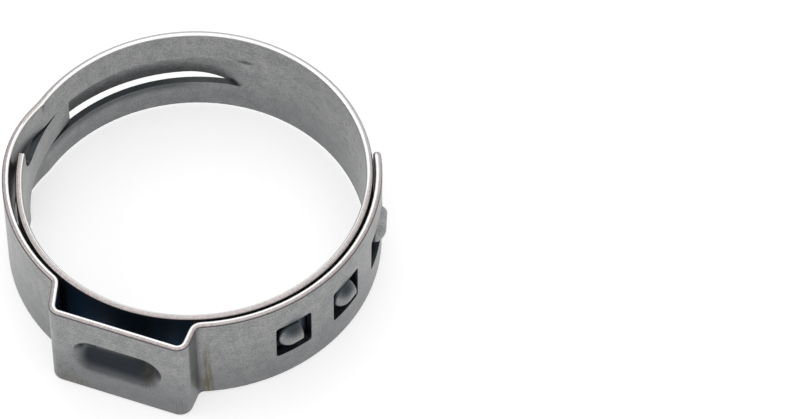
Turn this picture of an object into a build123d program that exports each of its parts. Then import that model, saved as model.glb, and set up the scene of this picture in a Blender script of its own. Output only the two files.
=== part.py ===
from build123d import *
from math import acos, atan2, cos, degrees, hypot, radians, sin, sqrt, tan
import os

# A stepless ear hose clamp, bent from one strip of stainless steel.
# The bore's axis is Z, the lower rim lies in z = 0 and the ear is centred on -Y.
# Angles are in degrees about the bore's axis, counted from +X, and the strip winds
# upwards in angle: inner end, under the ear, up the right side, round the back, out
# over the inner end, down the left side, ear, up the right side again, outer end.
# All lengths are in millimetres.

# Strip
bore_radius = 12.05
band_width = 7.85
sheet = 0.5
rim_bevel = 0.12

# Lap: how far the outer turn stands off the inner one
seat_gap = 0.12

# Inner end, which is sprung in a little: a bend tighter than the ring and then a flatter one
spring_in_angle = 240.0
spring_flat_angle = 210.0
spring_tighter = 1.65
spring_flatter = 3.0

# Ear
ear_inside_width = 9.2
ear_inside_height = 1.4
left_foot_spread = 0.4
ear_foot_bend = 0.7
ear_top_bend = 0.65

# Dimple pressed into the ear
dimple_length = 6.6
dimple_width = 3.1
dimple_depth = 0.8
dimple_slope = 42.0
dimple_round = 0.3

# Tongue at the inner end, and the shoulders that it grows out of
shoulder_angle = 193.3
shoulder_sweep = 1.9
tongue_length = 7.5
tongue_width = 2.5
tongue_round = 0.2

# Channel that the tongue lies in, under a cover parted from the webs by two slits
tongue_side_gap = 0.15
slit_kerf = 0.06
channel_start_angle = 95.2
ramp_foot_bend = 0.6
ramp_back_bend = 5.6
cover_lift = 0.95
cover_ease_angle = 165.0
ease_tighter = 2.25
ease_flatter = 5.0

# Step of the webs beside the channel, out over the inner end
step_start_angle = 170.0
step_foot_bend = 3.0
step_back_bend = 9.0

# Support hooks pressed out of the inner turn
hook_count = 2
first_hook_angle = -34.8
hook_spacing = 4.84
hook_length = 1.75
hook_width = 2.1
hook_height = 1.0
hook_wall = 0.35
relief_radius = 1.4
relief_depth = 0.1

# Windows in the outer turn, which the support hooks stand in
window_near_gap = 0.1
window_length = 2.72
window_lag = 0.13
window_side_gap = 0.55
window_corner = 0.25

# End hook, which holds the far edge of its window
end_hook_angle = 17.4
end_hook_length = 2.4
end_hook_lead = 1.3
end_catch_gap = 0.1

# Outer end
end_margin = 2.65
end_corner = 0.8

# Values worked out from the sizes above
origin = (0.0, 0.0)
mid_height = band_width / 2
inner_outside = bore_radius + sheet
inner_line = bore_radius + sheet / 2
outer_line = inner_outside + seat_gap + sheet / 2
leg_line = ear_inside_width / 2 + sheet / 2
ear_top_line = inner_outside + ear_inside_height + sheet / 2
ear_face = ear_top_line + sheet / 2
channel_width = tongue_width + 2 * tongue_side_gap
channel_low = mid_height - channel_width / 2
channel_high = mid_height + channel_width / 2
clear_of_all = ear_top_line + 2 * sheet


def polar(radius, angle, centre=origin):
    """Point at a radius and an angle about a centre."""
    return (centre[0] + radius * cos(radians(angle)), centre[1] + radius * sin(radians(angle)))


def bearing(point, centre=origin):
    """Angle at which a point is seen from a centre."""
    return degrees(atan2(point[1] - centre[1], point[0] - centre[0]))


def towards(start, end, distance):
    """Point at a distance from a start, on the way to an end."""
    share = distance / hypot(end[0] - start[0], end[1] - start[1])
    return (start[0] + share * (end[0] - start[0]), start[1] + share * (end[1] - start[1]))


def opposite_angle(side, other_side, far_side):
    """Angle in degrees between two sides of a triangle, from its three lengths."""
    return degrees(acos((side**2 + other_side**2 - far_side**2) / (2 * side * other_side)))


def swept_angle(length, radius):
    """Angle in degrees that a length of strip takes up at a radius."""
    return degrees(length / radius)


class Bend:
    """The strip seen from above: tangent arcs and lines along the middle of the sheet."""

    def __init__(self, start):
        self.here = start
        self.left = []
        self.right = []

    def arc(self, centre, end, anticlockwise=True):
        """Go on along an arc about a centre to an end point."""
        begin = bearing(self.here, centre)
        turn = (bearing(end, centre) - begin) % 360
        radius = hypot(end[0] - centre[0], end[1] - centre[1])
        inward = -sheet / 2
        if not anticlockwise:
            turn -= 360
            inward = sheet / 2
        for edges, shift in ((self.left, inward), (self.right, -inward)):
            stops = [polar(radius + shift, begin + share * turn, centre) for share in (0, 0.5, 1)]
            edges.append(ThreePointArc(*stops))
        self.here = end

    def line(self, end):
        """Go on in a straight line to an end point."""
        length = hypot(end[0] - self.here[0], end[1] - self.here[1])
        aside = ((self.here[1] - end[1]) / length, (end[0] - self.here[0]) / length)
        for edges, shift in ((self.left, sheet / 2), (self.right, -sheet / 2)):
            edges.append(Line(*[(x + shift * aside[0], y + shift * aside[1]) for x, y in (self.here, end)]))
        self.here = end

    def section(self):
        """Face between the two sides of the sheet."""
        first_cap = Line(self.left[0] @ 0, self.right[0] @ 0)
        last_cap = Line(self.left[-1] @ 1, self.right[-1] @ 1)
        return make_face([*self.left, *self.right, first_cap, last_cap])


# Inner end
tight_bend_radius = inner_line - spring_tighter
flat_bend_radius = inner_line + spring_flatter
spring_root = polar(inner_line, spring_in_angle)
tight_centre = towards(spring_root, origin, tight_bend_radius)
spring_joint = polar(tight_bend_radius, spring_flat_angle, tight_centre)
flat_centre = towards(spring_joint, tight_centre, flat_bend_radius)
shoulder = polar(flat_bend_radius, shoulder_angle, flat_centre)
lap_angle = shoulder_angle - swept_angle(shoulder_sweep, flat_bend_radius)

# Cover of the channel, which eases in from its own circle to the outer turn's
cover_line = inner_line + cover_lift
ease_tight_bend = cover_line - ease_tighter
ease_flat_bend = cover_line + ease_flatter
ease_start = polar(cover_line, cover_ease_angle)
ease_centre = polar(cover_line - ease_tight_bend, cover_ease_angle)
ease_span = cover_line - ease_tight_bend
ease_reach = ease_flat_bend - outer_line
ease_apart = ease_flat_bend - ease_tight_bend
ease_opening = opposite_angle(ease_span, ease_reach, ease_apart)
flat_ease_centre = polar(ease_reach, cover_ease_angle - ease_opening)
ease_joint = towards(flat_ease_centre, ease_centre, ease_flat_bend)
slit_end_angle = cover_ease_angle + 180 - ease_opening

# Feet and top corners of the ear
foot_reach = outer_line + ear_foot_bend
right_foot_x = leg_line + ear_foot_bend
left_foot_x = -right_foot_x - left_foot_spread
right_foot = (right_foot_x, -sqrt(foot_reach**2 - right_foot_x**2))
left_foot = (left_foot_x, -sqrt(foot_reach**2 - left_foot_x**2))
right_corner = (leg_line - ear_top_bend, ear_top_bend - ear_top_line)
left_corner = (ear_top_bend - leg_line, ear_top_bend - ear_top_line)

# Windows and outer end
hook_pitch = swept_angle(hook_spacing, inner_outside)
hook_angles = [first_hook_angle + number * hook_pitch for number in range(hook_count)]
window_low = mid_height - hook_width / 2 - window_side_gap
window_high = mid_height + hook_width / 2 + window_side_gap
end_window_angle = end_hook_angle + swept_angle(end_catch_gap, inner_outside)
end_angle = end_window_angle + swept_angle(end_margin, outer_line)
outer_tip = polar(outer_line, end_angle)


def step_out(bend, foot_bend, back_bend, circle_radius):
    """Two bends, away from the bore and back, that lead out to a larger circle."""
    span = inner_line + foot_bend
    reach = circle_radius - back_bend
    opening = opposite_angle(span, reach, foot_bend + back_bend)
    first = towards(origin, bend.here, span)
    second = polar(reach, bearing(first) + opening)
    bend.arc(first, towards(first, second, foot_bend), anticlockwise=False)
    bend.arc(second, towards(origin, second, circle_radius))


def leg(bend, foot, corner):
    """Left leg: round the foot, along a straight that touches both bends, round the corner."""
    span = hypot(corner[0] - foot[0], corner[1] - foot[1])
    turn = degrees(acos((ear_foot_bend + ear_top_bend) / span))
    touch = bearing(corner, foot) + turn
    bend.arc(foot, polar(ear_foot_bend, touch, foot), anticlockwise=False)
    bend.line(polar(ear_top_bend, touch + 180, corner))
    bend.arc(corner, (corner[0], -ear_top_line))


def ear_and_outer_end(bend):
    """From the outer turn on the left, over the ear and up the right side to the outer end."""
    bend.arc(origin, towards(origin, left_foot, outer_line))
    leg(bend, left_foot, left_corner)
    bend.line((right_corner[0], -ear_top_line))
    bend.arc(right_corner, (leg_line, right_corner[1]))
    bend.line((leg_line, right_foot[1]))
    bend.arc(right_foot, towards(origin, right_foot, outer_line), anticlockwise=False)
    bend.arc(origin, outer_tip)


def inner_turn(leave_angle):
    """From the shoulder of the inner end to the angle where the strip leaves the inner circle."""
    bend = Bend(shoulder)
    bend.arc(flat_centre, spring_joint)
    bend.arc(tight_centre, spring_root)
    bend.arc(origin, polar(inner_line, leave_angle))
    return bend


def side_section():
    """Section of the strip beside the channel, which steps out over the inner end."""
    bend = inner_turn(step_start_angle)
    step_out(bend, step_foot_bend, step_back_bend, outer_line)
    ear_and_outer_end(bend)
    return bend.section()


def cover_section():
    """Section of the strip's middle, which covers the channel from its start."""
    bend = inner_turn(channel_start_angle)
    step_out(bend, ramp_foot_bend, ramp_back_bend, cover_line)
    bend.arc(origin, ease_start)
    bend.arc(ease_centre, ease_joint)
    bend.arc(flat_ease_centre, polar(outer_line, slit_end_angle))
    ear_and_outer_end(bend)
    return bend.section()


def raised(section, low, high):
    """Section drawn up from one height to another."""
    return extrude(Pos(0, 0, low) * section, amount=high - low, dir=(0, 0, 1))


def sector(inside, outside, begin, end, low, high, centre=origin):
    """Piece of a ring between two radii, two angles and two heights."""
    middle = (begin + end) / 2
    arcs = [ThreePointArc(*[polar(r, a, centre) for a in (begin, middle, end)]) for r in (inside, outside)]
    sides = [Line(polar(inside, a, centre), polar(outside, a, centre)) for a in (begin, end)]
    return raised(make_face([*arcs, *sides]), low, high)


def ends_at(edges, point):
    """Edges across the sheet that stand at a point of its middle line."""
    return edges.filter_by(
        lambda edge: edge.length < 1.01 * sheet
        and hypot(edge.center().X - point[0], edge.center().Y - point[1]) < sheet / 2
    )


def side_web(low, high, rim_height):
    """Web beside the channel, with its outer end's corner rounded and its rim bevelled."""
    web = raised(side_section(), low, high)
    rim = web.faces().filter_by(Axis.Z).sort_by(lambda face: abs(face.center().Z - rim_height))[0]
    web = fillet(ends_at(rim.edges(), outer_tip), end_corner)
    rim = web.faces().filter_by(Axis.Z).sort_by(lambda face: abs(face.center().Z - rim_height))[0]
    long_edges = rim.edges().filter_by(lambda edge: edge.length > 1.01 * sheet)
    return chamfer(long_edges, rim_bevel)


def slits():
    """Two cuts that part the channel's cover from the webs, and pass outside the inner end."""
    cuts = []
    for low in (channel_low, channel_high - slit_kerf):
        high = low + slit_kerf
        cuts.append(sector(bore_radius - sheet, clear_of_all, channel_start_angle, lap_angle, low, high))
        cuts.append(sector(inner_line + seat_gap / 2, clear_of_all, lap_angle, slit_end_angle, low, high))
    return cuts


def tongue():
    """Narrow end of the inner turn, swept out into the shoulders in wide hollow rounds."""
    tip_angle = shoulder_angle - swept_angle(tongue_length, flat_bend_radius)
    root_angle = shoulder_angle + swept_angle(sheet, flat_bend_radius)
    half = tongue_width / 2
    faces = (flat_bend_radius - sheet / 2, flat_bend_radius + sheet / 2)
    whole = (mid_height - half - shoulder_sweep, mid_height + half + shoulder_sweep)
    blank = sector(*faces, tip_angle, root_angle, *whole, flat_centre)
    cut_faces = (flat_bend_radius - sheet, flat_bend_radius + sheet)
    axle = Plane(
        origin=(*polar(flat_bend_radius, lap_angle, flat_centre), mid_height),
        x_dir=(0, 0, 1),
        z_dir=(*polar(1, lap_angle), 0),
    )
    for side in (-1, 1):
        edges = sorted((mid_height + side * half, mid_height + side * (half + 2 * shoulder_sweep)))
        blank -= sector(*cut_faces, tip_angle - sheet, lap_angle, *edges, flat_centre)
        hollow = Pos(side * (half + shoulder_sweep), 0, 0) * Cylinder(shoulder_sweep, 2 * sheet)
        blank -= axle.location * hollow
    tip = polar(flat_bend_radius, tip_angle, flat_centre)
    return fillet(ends_at(blank.edges(), tip), tongue_round)


def hook_frame(angle):
    """Frame on the bore at a hook's mouth: X towards the ear, Z outwards."""
    at = polar(bore_radius, angle)
    return Plane(
        origin=(at[0], at[1], mid_height),
        x_dir=(sin(radians(angle)), -cos(radians(angle)), 0),
        z_dir=(cos(radians(angle)), sin(radians(angle)), 0),
    )


def blister(half_width, foot, length):
    """Half dome with a short tunnel before it, open at its mouth."""
    crown = sheet + hook_height - hook_width / 2
    dome_x = length - hook_width / 2
    tall = crown - foot
    tunnel = Pos(dome_x / 2, 0, crown) * Rot(0, 90, 0) * Cylinder(half_width, dome_x)
    walls = Pos(dome_x / 2, 0, foot + tall / 2) * Box(dome_x, 2 * half_width, tall)
    dome = Pos(dome_x, 0, crown) * Sphere(half_width)
    drum = Pos(dome_x, 0, foot + tall / 2) * Cylinder(half_width, tall)
    kept = Pos(length, 0, foot + length) * Box(2 * length, 2 * hook_width, 2 * length)
    return (tunnel + walls + dome + drum) & kept


def window(near, far):
    """Cutter for a window in the outer turn between two angles."""
    cutter = sector(inner_outside + seat_gap / 2, clear_of_all, near, far, window_low, window_high)
    corners = cutter.edges().filter_by(
        lambda edge: edge.geom_type == GeomType.LINE and abs((edge @ 0 - edge @ 1).Z) < seat_gap
    )
    return fillet(corners, window_corner)


def with_hook(band, angle, length):
    """Band with one hook pressed out of the inner turn."""
    frame = hook_frame(angle).location
    shell = blister(hook_width / 2, sheet / 2, length)
    hollow = blister(hook_width / 2 - hook_wall, -sheet, length)
    dish = Pos(0, 0, relief_depth - sheet) * Cylinder(relief_radius, 2 * sheet)
    far_side = Pos(-relief_radius, 0, 0) * Box(2 * relief_radius, 2 * relief_radius, 4 * sheet)
    band -= frame * hollow
    band -= frame * (dish & far_side)
    return band + frame * (shell - hollow)


def add_hooks(band):
    """Open the windows in the outer turn and press the hooks out of the inner one."""
    for number, angle in enumerate(hook_angles):
        near = angle - swept_angle(hook_length + window_near_gap + number * window_lag, inner_outside)
        band -= window(near, near + swept_angle(window_length, inner_outside))
    lead = swept_angle(end_hook_length + end_hook_lead, inner_outside)
    band -= window(end_hook_angle - lead, end_window_angle)
    for angle in hook_angles:
        band = with_hook(band, angle, hook_length)
    return with_hook(band, end_hook_angle, end_hook_length)


def dimple_body(inset, widening):
    """Boat-shaped body of the dimple, which narrows with depth, at an inset from the ear's face."""
    mouth = Plane(origin=(0, inset - ear_face, mid_height), x_dir=(1, 0, 0), z_dir=(0, -1, 0))
    outline = SlotOverall(dimple_length + widening, dimple_width + widening)
    return mouth.location * extrude(outline, amount=-dimple_depth, taper=dimple_slope)


def add_dimple(band):
    """Press the dimple into the top of the ear and round its edge."""
    spread = 2 * sheet * (1 / cos(radians(dimple_slope)) - tan(radians(dimple_slope)))
    band += dimple_body(sheet, spread)
    band -= dimple_body(0, 0)
    mouth_edges = band.edges().filter_by(
        lambda edge: abs(edge.center().Y + ear_face) < seat_gap / 2
        and abs(edge.center().X) < dimple_length / 2
        and abs(edge.center().Z - mid_height) < dimple_width
    )
    return fillet(mouth_edges, dimple_round)


def clamp_band():
    """The whole clamp."""
    band = raised(cover_section(), channel_low, channel_high)
    band += side_web(0, channel_low, 0)
    band += side_web(channel_high, band_width, band_width)
    band = band - slits() + tongue()
    band = add_hooks(band)
    return add_dimple(band)


os.makedirs("parts", exist_ok=True)
band = clamp_band()
export_step(band, "parts/clamp_band.step")
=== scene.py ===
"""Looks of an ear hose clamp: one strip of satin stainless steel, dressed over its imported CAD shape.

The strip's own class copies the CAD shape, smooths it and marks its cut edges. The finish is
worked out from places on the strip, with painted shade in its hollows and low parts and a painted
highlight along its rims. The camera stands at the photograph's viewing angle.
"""

import logging
import math
from collections.abc import Iterable
from dataclasses import dataclass
from enum import Enum
from typing import Any

import bpy
from mathutils import Matrix, Vector

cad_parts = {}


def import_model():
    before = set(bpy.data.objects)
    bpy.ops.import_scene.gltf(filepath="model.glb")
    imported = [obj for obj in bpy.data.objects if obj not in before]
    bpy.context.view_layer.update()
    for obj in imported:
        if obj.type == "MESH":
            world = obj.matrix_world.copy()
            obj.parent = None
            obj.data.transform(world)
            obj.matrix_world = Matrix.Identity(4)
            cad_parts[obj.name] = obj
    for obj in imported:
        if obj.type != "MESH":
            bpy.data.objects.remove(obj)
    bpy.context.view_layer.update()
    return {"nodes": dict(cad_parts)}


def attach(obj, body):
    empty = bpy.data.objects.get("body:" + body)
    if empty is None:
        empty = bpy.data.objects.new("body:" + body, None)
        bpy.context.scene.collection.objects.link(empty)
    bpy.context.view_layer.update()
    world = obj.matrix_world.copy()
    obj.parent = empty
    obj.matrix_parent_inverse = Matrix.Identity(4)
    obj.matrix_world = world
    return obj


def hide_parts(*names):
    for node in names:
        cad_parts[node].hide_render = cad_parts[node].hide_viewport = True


LOG = logging.getLogger("ear_hose_clamp")
MM = 0.001
EDGE_MARKS = "edge_marks"
RIM_SIDE = "rim_side"
WHITE = (1.0, 1.0, 1.0, 1.0)

# Places of the colour sockets on a Mix node, whose names are shared by its other kinds.
MIX_SHARE = 0
MIX_FIRST = 6
MIX_SECOND = 7
MIX_RESULT = 2

Colour = tuple[float, float, float]
Place = tuple[float, float, float]
Range = tuple[float, float]
Socket = bpy.types.NodeSocket


class Measure(Enum):
    """What a span is a range of: a coordinate, the place round the axis, or the way to the dimple."""

    X = "x"
    Y = "y"
    Z = "z"
    RADIUS = "radius"
    ANGLE = "angle"
    DIMPLE = "dimple"


@dataclass(frozen=True)
class Span:
    """A range of a measure, in millimetres or degrees.

    Args:
        low: Its lower end.
        high: Its upper end.
        soft: Half the width of each end's blend.
    """

    low: float
    high: float
    soft: float


@dataclass(frozen=True)
class Zone:
    """A part of the strip that is told by where it lies and gets a colour laid over it there, in most
    zones as painted shade.

    Args:
        spans: The spans that it is in, each with its measure.
        colour: The colour laid over it, in most zones a painted shade.
        strength: How much of that colour it takes.
    """

    spans: tuple[tuple[Measure, Span], ...]
    colour: Colour
    strength: float


@dataclass(frozen=True)
class Mark:
    """A place on the strip that is darkened with painted shade, stained or smudged.

    Args:
        place: Its middle, in millimetres.
        reach: How far it reaches along X, Y and Z, in millimetres.
        strength: How much of the steel it covers in its middle.
    """

    place: Place
    reach: Place
    strength: float


class Board:
    """A node tree being filled in, with short ways to add nodes and to join them."""

    def __init__(self, tree: bpy.types.NodeTree) -> None:
        """Take over a node tree and empty it.

        Args:
            tree: The tree to fill in.
        """
        self.tree = tree
        tree.nodes.clear()

    def add(self, kind: str, settings: dict[str, Any] | None = None, **values: Any) -> bpy.types.Node:
        """Add a node.

        Args:
            kind: The node's type.
            settings: Its properties, by name.
            **values: Values or outputs for its inputs, with spaces in a name as underscores.

        Returns:
            The node.
        """
        node = self.tree.nodes.new(kind)
        for name, value in (settings or {}).items():
            setattr(node, name, value)
        for name, value in values.items():
            self.feed(node.inputs[name.replace("_", " ")], value)
        return node

    def feed(self, socket: Socket, value: Any) -> None:
        """Join an output to an input, or set the input's value.

        Args:
            socket: The input.
            value: The output that is joined to it, or a constant.
        """
        if isinstance(value, bpy.types.NodeSocket):
            self.tree.links.new(value, socket)
        else:
            socket.default_value = value

    def sum(self, operation: str, *values: Any, clamp: bool = False) -> Socket:
        """Work out a number from others.

        Args:
            operation: The Math node's operation.
            *values: Numbers or outputs, in order.
            clamp: Whether the result is kept between 0 and 1.

        Returns:
            The result's output.
        """
        node = self.add("ShaderNodeMath", {"operation": operation, "use_clamp": clamp})
        for socket, value in zip(node.inputs, values):
            self.feed(socket, value)
        return node.outputs[0]

    def product(self, first: Any, *others: Any) -> Socket:
        """Multiply numbers, from left to right.

        Args:
            first: A number or an output.
            *others: The numbers or outputs that it is multiplied by.

        Returns:
            The product's output.
        """
        result = first
        for other in others:
            result = self.sum("MULTIPLY", result, other)
        return result

    def off(self, value: Any, middle: Any) -> Socket:
        """Work out how far a value is from another one, on either side of it.

        Args:
            value: A number or an output.
            middle: The number or output that it is compared with.

        Returns:
            The distance's output.
        """
        return self.sum("ABSOLUTE", self.sum("SUBTRACT", value, middle))

    def ramp(self, value: Socket, low: float, high: float) -> Socket:
        """Turn a range of a value smoothly into 0 to 1.

        Args:
            value: The output that is read.
            low: The value that gives 0.
            high: The value that gives 1.

        Returns:
            The ramp's output.
        """
        node = self.add("ShaderNodeMapRange", {"interpolation_type": "SMOOTHSTEP"}, Value=value)
        node.inputs["From Min"].default_value = low
        node.inputs["From Max"].default_value = high
        return node.outputs["Result"]

    def within(self, value: Socket, span: Span) -> Socket:
        """Tell whether a value lies in a span.

        Args:
            value: The output that is read.
            span: The span.

        Returns:
            An output that is 1 in the span and falls to 0 past its soft ends.
        """
        rising = self.ramp(value, span.low - span.soft, span.low + span.soft)
        falling = self.ramp(value, span.high + span.soft, span.high - span.soft)
        return self.product(rising, falling)

    def blend(self, share: Any, first: Any, second: Any) -> Socket:
        """Blend two colours.

        Args:
            share: How much of the second colour there is.
            first: The first colour, or an output.
            second: The second colour, or an output.

        Returns:
            The blend's output.
        """
        node = self.add("ShaderNodeMix", {"data_type": "RGBA"})
        self.feed(node.inputs[MIX_SHARE], share)
        for place, value in ((MIX_FIRST, first), (MIX_SECOND, second)):
            self.feed(node.inputs[place], (*value, 1.0) if isinstance(value, tuple) else value)
        return node.outputs[MIX_RESULT]

    def noise(self, coords: Socket, size: float, detail: float) -> Socket:
        """Add clouds of one size.

        Args:
            coords: The coordinates that they follow.
            size: How large they are, in millimetres.
            detail: How many finer layers they have.

        Returns:
            An output from 0 to 1.
        """
        node = self.add("ShaderNodeTexNoise", Vector=coords, Scale=1.0 / (size * MM), Detail=detail)
        return node.outputs[0]

    def stretched(self, coords: Socket, scale: Place) -> Socket:
        """Stretch coordinates along each axis.

        Args:
            coords: The coordinates.
            scale: What X, Y and Z are multiplied by.

        Returns:
            The stretched coordinates' output.
        """
        node = self.add("ShaderNodeMapping", Vector=coords)
        node.inputs["Scale"].default_value = scale
        return node.outputs[0]

    def attribute(self, name: str, output: str) -> Socket:
        """Read one of the piece's own attributes.

        Args:
            name: The attribute's name.
            output: The node's output that is wanted: Vector or Fac.

        Returns:
            That output.
        """
        return self.add("ShaderNodeAttribute", {"attribute_name": name}).outputs[output]


# Painted shade: the dark blue-grey laid over the inside of the ear.
HOLLOW_SHADE = (0.078, 0.135, 0.208)


class SteelZone(Enum):
    """Zones of the strip that get a colour by where they lie, most of them painted shade, each laid over
    the ones before it.
    """

    # Painted shade: the whole strip darkens towards the bottom.
    LOWER_HALF_SHADE = Zone(((Measure.Z, Span(-3.0, 2.8, 2.8)),), (0.120, 0.126, 0.135), 0.45)
    # Painted shade: the ear's front darkens towards the bottom.
    EAR_LOWER_FRONT_SHADE = Zone(
        (
            (Measure.Y, Span(-15.5, -14.2, 0.15)),
            (Measure.Z, Span(-3.0, 3.0, 2.2)),
        ),
        (0.130, 0.136, 0.146),
        0.30,
    )
    # A slightly darker tone on the inner face at the right.
    RIGHT_INNER_FACE = Zone(
        (
            (Measure.ANGLE, Span(-30.0, 75.0, 18.0)),
            (Measure.RADIUS, Span(11.0, 12.3, 0.05)),
        ),
        (0.120, 0.124, 0.130),
        0.16,
    )
    # Painted shade inside the ear's hollow.
    EAR_HOLLOW_SHADE = Zone(
        (
            (Measure.X, Span(-5.02, 4.65, 0.04)),
            (Measure.Y, Span(-13.8, -11.0, 0.04)),
            (Measure.RADIUS, Span(12.35, 15.0, 0.1)),
        ),
        HOLLOW_SHADE,
        1.0,
    )
    # Painted shade on the inner face of the ear's front.
    EAR_FRONT_INNER_SHADE = Zone(
        (
            (Measure.X, Span(-4.8, 4.65, 0.04)),
            (Measure.Y, Span(-14.0, -13.7, 0.04)),
        ),
        HOLLOW_SHADE,
        1.0,
    )
    # Painted shade: an even, darker grey inside the dimple.
    DIMPLE = Zone(
        (
            (Measure.X, Span(-3.60, 3.60, 0.05)),
            (Measure.Y, Span(-14.30, -13.56, 0.04)),
            (Measure.Z, Span(2.10, 5.75, 0.05)),
        ),
        (0.230, 0.234, 0.238),
        1.0,
    )
    # Painted shade: near black along the dimple's middle line, fading out to its sides.
    DIMPLE_BOTTOM_SHADE = Zone(
        (
            (Measure.DIMPLE, Span(-1.0, 0.96, 0.48)),
            (Measure.Y, Span(-15.0, -13.56, 0.05)),
        ),
        (0.017, 0.021, 0.027),
        0.95,
    )
    # Painted shade in the windows and on the hooks' flanks, below the strip's outer face.
    SHADE_ROUND_THE_HOOKS = Zone(
        (
            (Measure.ANGLE, Span(-51.0, 16.0, 1.0)),
            (Measure.RADIUS, Span(12.35, 13.03, 0.08)),
            (Measure.Z, Span(2.15, 5.70, 0.05)),
        ),
        (0.040, 0.056, 0.070),
        0.95,
    )
    # Painted shade in the bend of the ear's right foot.
    RIGHT_FOOT = Zone(
        (
            (Measure.X, Span(5.0, 5.5, 0.14)),
            (Measure.Y, Span(-13.7, -12.1, 0.2)),
        ),
        (0.075, 0.078, 0.088),
        0.55,
    )
    # Painted shade along the web just under the slit.
    SHADE_UNDER_SLIT = Zone(
        (
            (Measure.ANGLE, Span(112.0, 172.0, 8.0)),
            (Measure.RADIUS, Span(11.7, 12.45, 0.05)),
            (Measure.Z, Span(2.05, 2.60, 0.45)),
        ),
        (0.045, 0.050, 0.056),
        0.85,
    )


class ShadeMark(Enum):
    """Painted shade on the hooks' tops, where the strip is pressed out, and at the slits' ends."""

    FIRST_HOOK_TOP = Mark((10.55, -8.05, 5.0), (1.40, 1.40, 1.25), 1.0)
    SECOND_HOOK_TOP = Mark((12.85, -3.70, 5.0), (1.40, 1.40, 1.25), 1.0)
    UPPER_SLIT_END = Mark((-0.7, 12.1, 5.4), (0.9, 0.5, 0.3), 0.7)
    LOWER_SLIT_END = Mark((-1.60, 12.15, 2.75), (0.80, 0.60, 0.42), 1.0)


class StainMark(Enum):
    """Brown runs where the strip has stood damp."""

    RIGHT_FOOT = Mark((5.62, -11.9, 0.8), (0.50, 0.7, 6.5), 0.80)
    EAR_LOWER_EDGE = Mark((-3.4, -14.5, 0.5), (2.6, 1.2, 0.8), 0.40)
    DIMPLE_END = Mark((2.1, -13.8, 2.9), (0.9, 0.8, 1.1), 0.22)


class SmudgeMark(Enum):
    """Places that are dull and speckled from handling."""

    RIGHT_INNER_FACE = Mark((8.6, 8.0, 5.0), (5.0, 5.0, 4.0), 0.45)
    FAR_INNER_FACE = Mark((2.5, 11.8, 6.4), (3.0, 1.5, 1.6), 0.35)
    EAR_CORNER = Mark((-3.9, -14.5, 1.6), (1.4, 1.2, 1.0), 0.7)


@dataclass(frozen=True)
class RolledSkin:
    """The broad faces of the strip: clouds, streaks along the strip and a fine grain.

    Args:
        pale: Colour of the skin's palest places.
        dark: Colour of its darkest places.
        tone_range: Range of the mixed pattern that runs from dark to pale.
        cloud_size: Size of the clouds, in millimetres.
        cloud_detail: How many finer layers the clouds have.
        cloud_share: Share of the clouds in the pattern.
        streak_length: Length of the streaks, in millimetres.
        streak_width: Their width, in millimetres.
        streak_share: Their share in the pattern.
        grain_size: Size of the grain, in millimetres.
        grain_share: Its share in the pattern.
        fine_detail: How many finer layers streaks and grain have.
    """

    pale: Colour = (0.334, 0.333, 0.327)
    dark: Colour = (0.204, 0.210, 0.216)
    tone_range: Range = (0.38, 0.62)
    cloud_size: float = 0.9
    cloud_detail: float = 5.0
    cloud_share: float = 0.28
    streak_length: float = 3.0
    streak_width: float = 0.12
    streak_share: float = 0.17
    grain_size: float = 0.13
    grain_share: float = 0.55
    fine_detail: float = 3.0

    def grain(self, board: Board, coords: Socket) -> Socket:
        """Add the steel's fine grain.

        Args:
            board: The material's tree.
            coords: Object coordinates.

        Returns:
            An output from 0 to 1.
        """
        return board.noise(coords, self.grain_size, self.fine_detail)

    def streaks(self, board: Board, coords: Socket) -> Socket:
        """Add the streaks that rolling leaves along the strip.

        Args:
            board: The material's tree.
            coords: Object coordinates.

        Returns:
            An output from 0 to 1.
        """
        along = self.streak_width / self.streak_length
        drawn_out = board.stretched(coords, (along, along, 1.0))
        return board.noise(drawn_out, self.streak_width, self.fine_detail)

    def colour(self, board: Board, coords: Socket, grain: Socket, streaks: Socket) -> Socket:
        """Mix the pattern and turn it into a colour.

        Args:
            board: The material's tree.
            coords: Object coordinates.
            grain: The grain.
            streaks: The streaks.

        Returns:
            The colour's output.
        """
        clouds = board.noise(coords, self.cloud_size, self.cloud_detail)
        cloudy = board.product(clouds, self.cloud_share)
        tone = board.sum("ADD", cloudy, board.product(streaks, self.streak_share))
        tone = board.sum("ADD", tone, board.product(grain, self.grain_share))
        return board.blend(board.ramp(tone, *self.tone_range), self.dark, self.pale)


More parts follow.
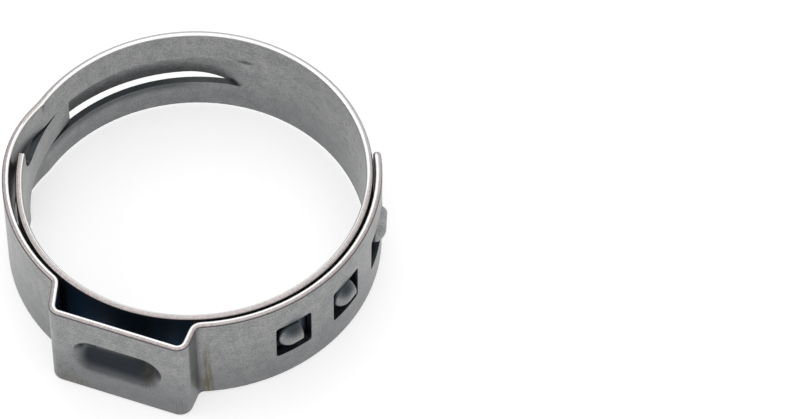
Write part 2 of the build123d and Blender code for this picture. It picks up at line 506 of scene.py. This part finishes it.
@dataclass(frozen=True)
class CutEdges:
    """The strip's cut edges: rims with a painted highlight on the inner bevel and painted shade on the
    outer one, and slits.

    Args:
        rim: Colour of a rim.
        far_rim: Colour of the rims at the back.
        back: Span of Y that is the back.
        spot_range: Range of the grain over which a rim turns from dark spots to plain.
        plain_share: How much of the spots the rim's own colour covers.
        inner_bevel_highlight: Colour of the inner bevel, near white: a painted highlight.
        highlight_band: How far above and below the strip's middle the inner bevel's painted highlight
            lies.
        inner_side: Range of the rim's side over which the inner bevel sets in.
        rim_spots_and_outer_shade: Colour of the rims' dark spots and of the painted shade on the outer
            bevel.
        outer_shade_band: How far above and below the strip's middle the painted shade on the outer bevel
            lies.
        outer_side: Range of the rim's side over which the outer bevel sets in.
        bevel_fade: Span of Y in which the outer bevel's painted shade is laid.
        inner_turn: Radii of the strip's inner turn, where the painted highlight on the inner bevel is
            thinner.
        lap_side: Span of Y in which it is thinner.
        thinning: How far the painted highlight draws back there.
        mid_height: Height of the strip's middle, in millimetres.
        lanced_edge: Colour of the slits' edges: the duller cut steel, darkened further with painted shade.
        lanced_end: Their colour at the slits' right ends.
        slit_end: Angles at which those ends lie.
    """

    rim: Colour = (0.450, 0.412, 0.400)
    far_rim: Colour = (0.460, 0.450, 0.458)
    back: Span = Span(5.0, 20.0, 4.0)
    spot_range: Range = (0.35, 0.65)
    plain_share: float = 0.65
    inner_bevel_highlight: Colour = (0.930, 0.928, 0.925)
    highlight_band: Span = Span(3.850, 4.0, 0.02)
    inner_side: Range = (0.05, 0.40)
    rim_spots_and_outer_shade: Colour = (0.110, 0.095, 0.110)
    outer_shade_band: Span = Span(3.70, 3.865, 0.02)
    outer_side: Range = (-0.35, -0.95)
    bevel_fade: Span = Span(-20.0, 5.0, 4.0)
    inner_turn: Span = Span(11.0, 12.6, 0.02)
    lap_side: Span = Span(-20.0, 3.0, 2.0)
    thinning: float = 0.5
    mid_height: float = 3.925
    lanced_edge: Colour = (0.120, 0.136, 0.145)
    lanced_end: Colour = (0.250, 0.260, 0.265)
    slit_end: Span = Span(80.0, 118.0, 12.0)

    def lay(self, board: Board, skin: Socket, grain: Socket, measures: dict[Measure, Socket]) -> Socket:
        """Lay the edges' colours over the skin.

        Args:
            board: The material's tree.
            skin: The skin's colour so far.
            grain: The grain.
            measures: The measures of the place.

        Returns:
            The new colour's output.
        """
        marks = board.attribute(EDGE_MARKS, "Vector")
        edges = board.add("ShaderNodeSeparateXYZ", Vector=marks).outputs
        on_rim = edges["Y"]
        side = board.attribute(RIM_SIDE, "Fac")
        from_middle = board.off(measures[Measure.Z], self.mid_height)

        spotted = board.blend(board.ramp(grain, *self.spot_range), self.rim_spots_and_outer_shade, self.rim)
        mottled = board.blend(self.plain_share, spotted, self.rim)
        behind = board.within(measures[Measure.Y], self.back)
        skin = board.blend(on_rim, skin, board.blend(behind, mottled, self.far_rim))

        # Painted shade on the outer bevel, at the front only.
        outer = board.product(
            on_rim,
            board.ramp(side, *self.outer_side),
            board.within(measures[Measure.Y], self.bevel_fade),
            board.within(from_middle, self.outer_shade_band),
        )
        skin = board.blend(outer, skin, self.rim_spots_and_outer_shade)

        # Painted highlight along the inner bevel, drawn back on the inner turn where it laps.
        thinner = board.product(
            board.within(measures[Measure.RADIUS], self.inner_turn),
            board.within(measures[Measure.Y], self.lap_side),
            self.thinning,
        )
        inner = board.product(
            on_rim,
            board.ramp(board.sum("SUBTRACT", side, thinner), *self.inner_side),
            board.within(from_middle, self.highlight_band),
        )
        skin = board.blend(inner, skin, self.inner_bevel_highlight)

        # The slits' edges: duller cut steel, darkened further with painted shade.
        at_end = board.within(measures[Measure.ANGLE], self.slit_end)
        lanced = board.blend(at_end, self.lanced_edge, self.lanced_end)
        return board.blend(edges["Z"], skin, lanced)


@dataclass(frozen=True)
class SatinSteel:
    """Finish of the strip: rolled stainless steel with a satin skin, handled and a little stained, with
    painted shade and painted highlights laid into its colour.

    Args:
        rolled: The broad faces' own pattern.
        edges: The cut edges' colours.
        pressed_shade: Colour of the painted shade on the hooks' tops and at the slits' ends.
        stain: Colour of the stains.
        stain_range: Range of the runs' pattern that turns into stain.
        run_down: How much the runs are drawn out downwards, as a share of their height.
        run_width: Width of a run, in millimetres.
        run_detail: How many finer layers the runs have.
        smudge: Colour of the smudges.
        smudge_range: Range of the specks' pattern that turns into smudge.
        smudge_size: Size of the specks, in millimetres.
        smudge_detail: How many finer layers the specks have.
        mark_core: Share of a mark's reach inside which it has its full strength.
        dimple_middle: X and Z of the dimple's middle, in millimetres.
        dimple_reach: Half the length of the dimple's middle line, in millimetres.
        roughness: Roughness of the clean skin.
        roughness_spread: How much the grain varies it.
        dulling: How much rougher a stain or smudge is.
        bump_height: Height of the skin's relief, in millimetres.
        bump_strength: How much of the relief is seen.
        grain_relief: Share of the grain in the relief, beside the streaks.
    """

    rolled: RolledSkin = RolledSkin()
    edges: CutEdges = CutEdges()
    pressed_shade: Colour = (0.045, 0.053, 0.060)
    stain: Colour = (0.125, 0.100, 0.050)
    stain_range: Range = (0.25, 0.65)
    run_down: float = 0.10
    run_width: float = 0.22
    run_detail: float = 3.0
    smudge: Colour = (0.130, 0.128, 0.112)
    smudge_range: Range = (0.52, 0.66)
    smudge_size: float = 0.35
    smudge_detail: float = 6.0
    mark_core: float = 0.25
    dimple_middle: Range = (-0.03, 3.34)
    dimple_reach: float = 1.86
    roughness: float = 0.36
    roughness_spread: float = 0.12
    dulling: float = 0.2
    bump_height: float = 0.006
    bump_strength: float = 0.30
    grain_relief: float = 0.7

    def patch(self, board: Board, coords: Socket, mark: Mark) -> Socket:
        """Work out how much of one mark there is at a place.

        Args:
            board: The material's tree.
            coords: Object coordinates.
            mark: The mark.

        Returns:
            An output from 0 to the mark's strength.
        """
        shrink = board.add("ShaderNodeMapping", {"vector_type": "TEXTURE"}, Vector=coords)
        shrink.inputs["Location"].default_value = tuple(MM * part for part in mark.place)
        shrink.inputs["Scale"].default_value = tuple(MM * part for part in mark.reach)
        far = board.add("ShaderNodeVectorMath", {"operation": "LENGTH"}, Vector=shrink.outputs[0])
        near = board.ramp(far.outputs["Value"], 1.0, self.mark_core)
        return board.product(near, mark.strength)

    def patches(self, board: Board, coords: Socket, marks: Iterable[Enum]) -> Socket:
        """Work out how much of several marks there is at a place.

        Args:
            board: The material's tree.
            coords: Object coordinates.
            marks: The marks, by name.

        Returns:
            An output that holds the strongest of them.
        """
        found, *others = [self.patch(board, coords, mark.value) for mark in marks]
        for other in others:
            found = board.sum("MAXIMUM", found, other)
        return found

    def measures(self, board: Board, coords: Socket) -> dict[Measure, Socket]:
        """Work out every measure of a place.

        Args:
            board: The material's tree.
            coords: Object coordinates.

        Returns:
            Outputs in millimetres, and in degrees for the angle.
        """
        scaled = board.add("ShaderNodeVectorMath", {"operation": "SCALE"}, Vector=coords, Scale=1.0 / MM)
        parts = board.add("ShaderNodeSeparateXYZ", Vector=scaled.outputs[0]).outputs
        squares = [board.product(parts[name], parts[name]) for name in ("X", "Y")]
        turned = board.sum("ARCTAN2", parts["Y"], parts["X"])
        middle_x, middle_z = self.dimple_middle
        along = board.off(parts["X"], middle_x)
        past = board.sum("MAXIMUM", board.sum("SUBTRACT", along, self.dimple_reach), 0.0)
        above = board.sum("SUBTRACT", parts["Z"], middle_z)
        spread = board.sum("ADD", board.product(past, past), board.product(above, above))
        return {
            Measure.X: parts["X"],
            Measure.Y: parts["Y"],
            Measure.Z: parts["Z"],
            Measure.RADIUS: board.sum("SQRT", board.sum("ADD", *squares)),
            Measure.ANGLE: board.sum("DEGREES", turned),
            Measure.DIMPLE: board.sum("SQRT", spread),
        }

    def zoned(self, board: Board, skin: Socket, measures: dict[Measure, Socket]) -> Socket:
        """Lay every zone's colour over the skin, most of them painted shade.

        Args:
            board: The material's tree.
            skin: The skin's colour so far.
            measures: The measures of the place.

        Returns:
            The new colour's output.
        """
        for named in SteelZone:
            zone = named.value
            parts = [board.within(measures[measure], span) for measure, span in zone.spans]
            skin = board.blend(board.product(zone.strength, *parts), skin, zone.colour)
        return skin

    def stained(self, board: Board, coords: Socket) -> Socket:
        """Work out how stained a place is, in runs that go down the strip.

        Args:
            board: The material's tree.
            coords: Object coordinates.

        Returns:
            An output from 0 to 1.
        """
        upright = board.stretched(coords, (1.0, 1.0, self.run_down))
        runs = board.noise(upright, self.run_width, self.run_detail)
        covered = self.patches(board, coords, StainMark)
        return board.product(covered, board.ramp(runs, *self.stain_range))

    def smudged(self, board: Board, coords: Socket) -> Socket:
        """Work out how smudged a place is, in small specks.

        Args:
            board: The material's tree.
            coords: Object coordinates.

        Returns:
            An output from 0 to 1.
        """
        specks = board.noise(coords, self.smudge_size, self.smudge_detail)
        covered = self.patches(board, coords, SmudgeMark)
        return board.product(board.ramp(specks, *self.smudge_range), covered)

    def rough(self, board: Board, grain: Socket, stained: Socket, smudged: Socket) -> Socket:
        """Work out the roughness.

        Args:
            board: The material's tree.
            grain: The grain.
            stained: How stained the place is.
            smudged: How smudged it is.

        Returns:
            An output from 0 to 1.
        """
        uneven = board.product(board.sum("SUBTRACT", grain, 0.5), self.roughness_spread)
        clean = board.sum("ADD", uneven, self.roughness)
        dull = board.sum("ADD", board.product(stained, self.dulling), board.product(smudged, self.dulling))
        return board.sum("ADD", clean, dull, clamp=True)

    def material(self) -> bpy.types.Material:
        """Make the finish as a material.

        Returns:
            The material.
        """
        steel = bpy.data.materials.new("satin_steel")
        steel.use_nodes = True
        board = Board(steel.node_tree)
        coords = board.add("ShaderNodeTexCoord").outputs["Object"]
        measures = self.measures(board, coords)
        grain = self.rolled.grain(board, coords)
        streaks = self.rolled.streaks(board, coords)
        stained = self.stained(board, coords)
        smudged = self.smudged(board, coords)

        skin = self.rolled.colour(board, coords, grain, streaks)
        skin = self.zoned(board, skin, measures)
        # Painted shade on the hooks' tops and at the slits' ends.
        skin = board.blend(self.patches(board, coords, ShadeMark), skin, self.pressed_shade)
        skin = self.edges.lay(board, skin, grain, measures)
        skin = board.blend(stained, skin, self.stain)
        skin = board.blend(smudged, skin, self.smudge)

        relief = board.sum("ADD", streaks, board.product(grain, self.grain_relief))
        depth = self.bump_height * MM
        bump = board.add("ShaderNodeBump", Height=relief, Strength=self.bump_strength, Distance=depth)

        shader = board.add("ShaderNodeBsdfPrincipled", Metallic=1.0, Base_Color=skin)
        board.feed(shader.inputs["Roughness"], self.rough(board, grain, stained, smudged))
        board.feed(shader.inputs["Normal"], bump.outputs[0])
        board.add("ShaderNodeOutputMaterial", Surface=shader.outputs[0])
        return steel


@dataclass(frozen=True)
class StripDressing:
    """Geometry Nodes that close the strip's skin, smooth its bends and mark its cut edges.

    Args:
        weld: Distance within which points are one, in millimetres.
        crease: Angle past which an edge stays sharp, in degrees.
        width: The strip's width, in millimetres.
        bevel: Width of the bevel along its rims, in millimetres.
        bevel_reach: How far in from the edge a face is still a rim's, in widths of the bevel.
        upright: How far up or down a face looks when it belongs to a rim.
        level: How far up or down a face looks when it is cut across the sheet.
        slant: How far a bevel's face looks in or out, as a share of its place, in millimetres.
    """

    weld: float = 0.0004
    crease: float = 50.0
    width: float = 7.85
    bevel: float = 0.12
    bevel_reach: float = 1.1
    upright: float = 0.5
    level: float = 0.95
    slant: float = 1.0

    def tree(self) -> bpy.types.NodeTree:
        """Build the tree, with named inputs for its sizes and for the finish.

        Returns:
            The tree.
        """
        made = bpy.data.node_groups.new("strip_dressing", "GeometryNodeTree")
        face = made.interface
        face.new_socket("Strip", in_out="INPUT", socket_type="NodeSocketGeometry")
        for name in ("Weld", "Crease", "Width", "Bevel", "Upright", "Level"):
            face.new_socket(name, in_out="INPUT", socket_type="NodeSocketFloat")
        face.new_socket("Finish", in_out="INPUT", socket_type="NodeSocketMaterial")
        face.new_socket("Strip", in_out="OUTPUT", socket_type="NodeSocketGeometry")
        board = Board(made)
        given = board.add("NodeGroupInput").outputs
        closed = board.add("GeometryNodeMergeByDistance", Geometry=given["Strip"], Distance=given["Weld"])

        rounded = board.add("GeometryNodeSetShadeSmooth", {"domain": "FACE"}, Geometry=closed.outputs[0])
        rounded.inputs["Shade Smooth"].default_value = True
        bend = board.add("GeometryNodeInputMeshEdgeAngle").outputs["Unsigned Angle"]
        sharp = board.add("FunctionNodeCompare", {"operation": "GREATER_THAN"}, A=bend, B=given["Crease"])
        creased = board.add("GeometryNodeSetShadeSmooth", {"domain": "EDGE"}, Geometry=rounded.outputs[0])
        board.feed(creased.inputs["Selection"], sharp.outputs[0])
        creased.inputs["Shade Smooth"].default_value = False

        marks = self.edge_marks(board, given)
        marked = self.stored(board, creased, EDGE_MARKS, ("FLOAT_VECTOR", "FACE"), marks)
        read = board.add("GeometryNodeInputNamedAttribute", {"data_type": "FLOAT_VECTOR"}, Name=EDGE_MARKS)
        told = board.add("ShaderNodeSeparateXYZ", Vector=read.outputs["Attribute"]).outputs
        side = board.sum("SIGN", told["X"])
        sided = self.stored(board, marked, RIM_SIDE, ("FLOAT", "POINT"), side)

        whole = board.add("GeometryNodeRealizeInstances", Geometry=sided.outputs[0])
        dressed = board.add("GeometryNodeSetMaterial", Geometry=whole.outputs[0], Material=given["Finish"])
        out = board.add("NodeGroupOutput")
        board.feed(out.inputs[0], dressed.outputs[0])
        return made

    def stored(
        self, board: Board, before: bpy.types.Node, name: str, kind: tuple[str, str], value: Socket
    ) -> bpy.types.Node:
        """Store a value on the strip as a named attribute.

        Args:
            board: The tree.
            before: The node whose geometry it is stored on.
            name: The attribute's name.
            kind: The attribute's data type and its domain.
            value: The value's output.

        Returns:
            The node that stores it.
        """
        node = board.add("GeometryNodeStoreNamedAttribute", Geometry=before.outputs[0])
        node.data_type, node.domain = kind
        node.inputs["Name"].default_value = name
        board.feed(node.inputs["Value"], value)
        return node

    def edge_marks(self, board: Board, given: Any) -> Socket:
        """Tell a rim's two bevels, the whole rim and a lanced edge from the strip's broad faces.

        Args:
            board: The tree.
            given: The tree's inputs.

        Returns:
            A vector's output: X is 1 on a rim's inner bevel and -1 on its outer one, Y is 1 on
            the whole rim and Z is 1 on a lanced edge.
        """
        facing = board.add("GeometryNodeInputNormal").outputs[0]
        centre = board.add("GeometryNodeInputPosition").outputs[0]
        look = board.add("ShaderNodeSeparateXYZ", Vector=facing).outputs
        place = board.add("ShaderNodeSeparateXYZ", Vector=centre).outputs
        steep = board.sum("ABSOLUTE", look["Z"])
        half = board.product(given["Width"], 0.5)
        rim_start = board.sum("SUBTRACT", half, board.product(given["Bevel"], self.bevel_reach))
        at_rim = board.sum("GREATER_THAN", board.off(place["Z"], half), rim_start)
        rim = board.product(at_rim, board.sum("GREATER_THAN", steep, given["Upright"]))
        sideways = board.product(place["X"], look["X"])
        outward = board.sum("ADD", sideways, board.product(place["Y"], look["Y"]))
        inner = board.sum("LESS_THAN", outward, -self.slant * MM)
        outer = board.sum("GREATER_THAN", outward, self.slant * MM)
        bevel = board.product(rim, board.sum("SUBTRACT", inner, outer))
        across = board.sum("GREATER_THAN", steep, given["Level"])
        lanced = board.product(board.sum("SUBTRACT", 1.0, at_rim), across)
        marks = board.add("ShaderNodeCombineXYZ", X=bevel, Y=rim, Z=lanced)
        return marks.outputs[0]

    def values(self, finish: bpy.types.Material) -> dict[str, Any]:
        """Give what the tree's inputs are set to.

        Args:
            finish: The strip's material.

        Returns:
            The values, by the inputs' names.
        """
        return {
            "Weld": self.weld * MM,
            "Crease": math.radians(self.crease),
            "Width": self.width * MM,
            "Bevel": self.bevel * MM,
            "Upright": self.upright,
            "Level": self.level,
            "Finish": finish,
        }


@dataclass(frozen=True)
class ClampBand:
    """The clamp's one piece: the strip with its ear, tongue, channel, hooks and windows.

    Args:
        node: Name of the CAD node that it stands for.
        body: Body that it rides on.
        finish: Its finish.
        dressing: The tree that smooths it.
        normal_weight: How much a large face bends the shading of the small ones beside it.
    """

    node: str = "clamp_band"
    body: str = "root"
    finish: SatinSteel = SatinSteel()
    dressing: StripDressing = StripDressing()
    normal_weight: int = 50

    def bare_copy(self, source: bpy.types.Object) -> bpy.types.Object:
        """Copy the CAD strip's points and faces into a new object at the origin.

        Args:
            source: The CAD node.

        Returns:
            The copy.
        """
        points = [point.co.copy() for point in source.data.vertices]
        faces = [tuple(face.vertices) for face in source.data.polygons]
        mesh = bpy.data.meshes.new("strip_skin")
        mesh.from_pydata(points, [], faces)
        piece = bpy.data.objects.new("steel_strip", mesh)
        bpy.context.scene.collection.objects.link(piece)
        return piece

    def dress(self, piece: bpy.types.Object) -> None:
        """Run the dressing tree on the piece and keep its result as a plain mesh.

        Args:
            piece: The bare copy.
        """
        tree = self.dressing.tree()
        modifier = piece.modifiers.new("dressing", "NODES")
        modifier.node_group = tree
        values = self.dressing.values(self.finish.material())
        for item in tree.interface.items_tree:
            if item.item_type == "SOCKET" and item.in_out == "INPUT" and item.name in values:
                modifier[item.identifier] = values[item.name]
        even = piece.modifiers.new("even_normals", "WEIGHTED_NORMAL")
        even.keep_sharp = True
        even.weight = self.normal_weight
        view = bpy.context.evaluated_depsgraph_get()
        dressed = bpy.data.meshes.new_from_object(piece.evaluated_get(view), depsgraph=view)
        piece.modifiers.clear()
        piece.data = dressed

    def build(self, nodes: dict[str, bpy.types.Object]) -> bpy.types.Object:
        """Make the piece, dress it and let it stand for its CAD node.

        Args:
            nodes: The frame's CAD nodes by name.

        Returns:
            The finished piece.
        """
        piece = self.bare_copy(nodes[self.node])
        self.dress(piece)
        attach(piece, self.body)
        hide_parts(self.node)
        LOG.info("%s: %d faces", piece.name, len(piece.data.polygons))
        return piece


@dataclass(frozen=True)
class ViewingCamera:
    """Camera at the photograph's viewing angle.

    Args:
        aim: Point that it looks at, in millimetres.
        round_deg: How far it stands round to the right of straight in front.
        up_deg: How far it stands above the floor.
        roll_deg: How far it is turned about its own line of sight.
        distance: How far it stands from its aim, in millimetres.
        lens: Focal length, in millimetres.
        sensor: Width of the sensor, in millimetres.
        sight: Nearest and farthest distance that it sees, in metres.
    """

    aim: Place = (12.3063, 7.0295, 0.25)
    round_deg: float = 19.2
    up_deg: float = 53.5021
    roll_deg: float = 0.80432
    distance: float = 319.139
    lens: float = 206.107
    sensor: float = 36.0
    sight: Range = (0.01, 10.0)

    def build(self) -> bpy.types.Object:
        """Make the camera and use it for the scene.

        Returns:
            The camera.
        """
        turn = math.radians(self.round_deg)
        rise = math.radians(self.up_deg)
        roll = math.radians(self.roll_deg)
        outward = math.cos(rise)
        back = Vector((outward * math.sin(turn), -outward * math.cos(turn), math.sin(rise)))
        level = Vector((math.cos(turn), math.sin(turn), 0.0))
        above = back.cross(level)
        right = math.cos(roll) * level + math.sin(roll) * above
        top = math.cos(roll) * above - math.sin(roll) * level
        data = bpy.data.cameras.new("viewing_camera")
        data.sensor_width = self.sensor
        data.lens = self.lens
        data.clip_start, data.clip_end = self.sight
        camera = bpy.data.objects.new("viewing_camera", data)
        stand = Vector(self.aim) * MM + back * (self.distance * MM)
        facing = Matrix((right, top, back)).transposed().to_4x4()
        camera.matrix_world = Matrix.Translation(stand) @ facing
        bpy.context.scene.collection.objects.link(camera)
        bpy.context.scene.camera = camera
        return camera


@dataclass(frozen=True)
class SoftLamp:
    """A square lamp that looks at the clamp.

    Args:
        stand: Where it hangs, in metres.
        side: Length of its side, in metres.
        power: Its power, in watts.
    """

    stand: Place
    side: float
    power: float


class StudioLamp(Enum):
    """The studio's lamps."""

    BEHIND = SoftLamp((-0.11, 0.30, 0.42), 0.26, 0.23)
    OVERHEAD = SoftLamp((0.05, -0.05, 0.60), 0.50, 0.48)
    LEFT = SoftLamp((-0.45, -0.15, 0.35), 0.30, 0.29)


@dataclass(frozen=True)
class PaleStudio:
    """Plain pale floor, white surroundings and soft lamps.

    Args:
        floor_half: Half the floor's side, in metres.
        floor_drop: How far the floor lies below the clamp, in millimetres.
        floor_colour: The floor's colour.
        floor_lift: How much of the floor's own white the camera and the steel see.
        sky: Strength of the white that lights the floor and the strip.
    """

    floor_half: float = 3.0
    floor_drop: float = 0.01
    floor_colour: Colour = (0.86, 0.86, 0.86)
    floor_lift: float = 0.56
    sky: float = 0.44

    def seen(self, board: Board) -> Socket:
        """Tell whether the camera sees a place, itself or in steel or glass.

        Args:
            board: The tree.

        Returns:
            An output that is 1 for such rays.
        """
        path = board.add("ShaderNodeLightPath").outputs
        direct = board.sum("MAXIMUM", path["Is Camera Ray"], path["Is Glossy Ray"])
        return board.sum("MAXIMUM", direct, path["Is Transmission Ray"])

    def floor_finish(self) -> bpy.types.Material:
        """Make the floor's material, matt and pale, which keeps the clamp's shadow.

        Returns:
            The material.
        """
        pale = bpy.data.materials.new("pale_floor")
        pale.use_nodes = True
        board = Board(pale.node_tree)
        matt = board.add("ShaderNodeBsdfDiffuse", Color=(*self.floor_colour, 1.0))
        lift = board.product(self.seen(board), self.floor_lift)
        white = board.add("ShaderNodeEmission", Color=WHITE, Strength=lift)
        both = board.add("ShaderNodeAddShader")
        board.feed(both.inputs[0], matt.outputs[0])
        board.feed(both.inputs[1], white.outputs[0])
        board.add("ShaderNodeOutputMaterial", Surface=both.outputs[0])
        return pale

    def floor(self) -> bpy.types.Object:
        """Lay the floor under the clamp.

        Returns:
            The floor.
        """
        half = self.floor_half
        height = -self.floor_drop * MM
        sides = ((-half, -half), (half, -half), (half, half), (-half, half))
        corners = [(*side, height) for side in sides]
        mesh = bpy.data.meshes.new("floor")
        mesh.from_pydata(corners, [], [(0, 1, 2, 3)])
        mesh.materials.append(self.floor_finish())
        laid = bpy.data.objects.new("floor", mesh)
        bpy.context.scene.collection.objects.link(laid)
        return laid

    def surroundings(self) -> None:
        """Make the world white where it is seen, and a softer white where it only lights."""
        world = bpy.data.worlds.new("white_room")
        world.use_nodes = True
        board = Board(world.node_tree)
        extra = board.product(self.seen(board), 1.0 - self.sky)
        glow = board.add("ShaderNodeBackground", Color=WHITE, Strength=board.sum("ADD", extra, self.sky))
        board.add("ShaderNodeOutputWorld", Surface=glow.outputs[0])
        bpy.context.scene.world = world

    def lamp(self, named: StudioLamp) -> bpy.types.Object:
        """Hang one soft lamp, turned to the clamp.

        Args:
            named: Which lamp it is.

        Returns:
            The lamp.
        """
        soft = named.value
        data = bpy.data.lights.new("lamp_" + named.name.lower(), "AREA")
        data.size = soft.side
        data.energy = soft.power
        lamp = bpy.data.objects.new(data.name, data)
        away = Vector(soft.stand)
        facing = away.to_track_quat("Z", "Y").to_matrix().to_4x4()
        lamp.matrix_world = Matrix.Translation(away) @ facing
        bpy.context.scene.collection.objects.link(lamp)
        return lamp

    def build(self) -> None:
        """Set up the floor, the surroundings and the lamps."""
        self.floor()
        self.surroundings()
        for named in StudioLamp:
            self.lamp(named)


def main() -> None:
    """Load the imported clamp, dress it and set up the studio."""
    logging.basicConfig(level=logging.INFO, format="%(name)s %(message)s")
    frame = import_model()
    bpy.context.scene.view_settings.view_transform = "Standard"
    ClampBand().build(frame["nodes"])
    ViewingCamera().build()
    PaleStudio().build()
    bpy.context.view_layer.update()


if __name__ == "__main__":
    main()
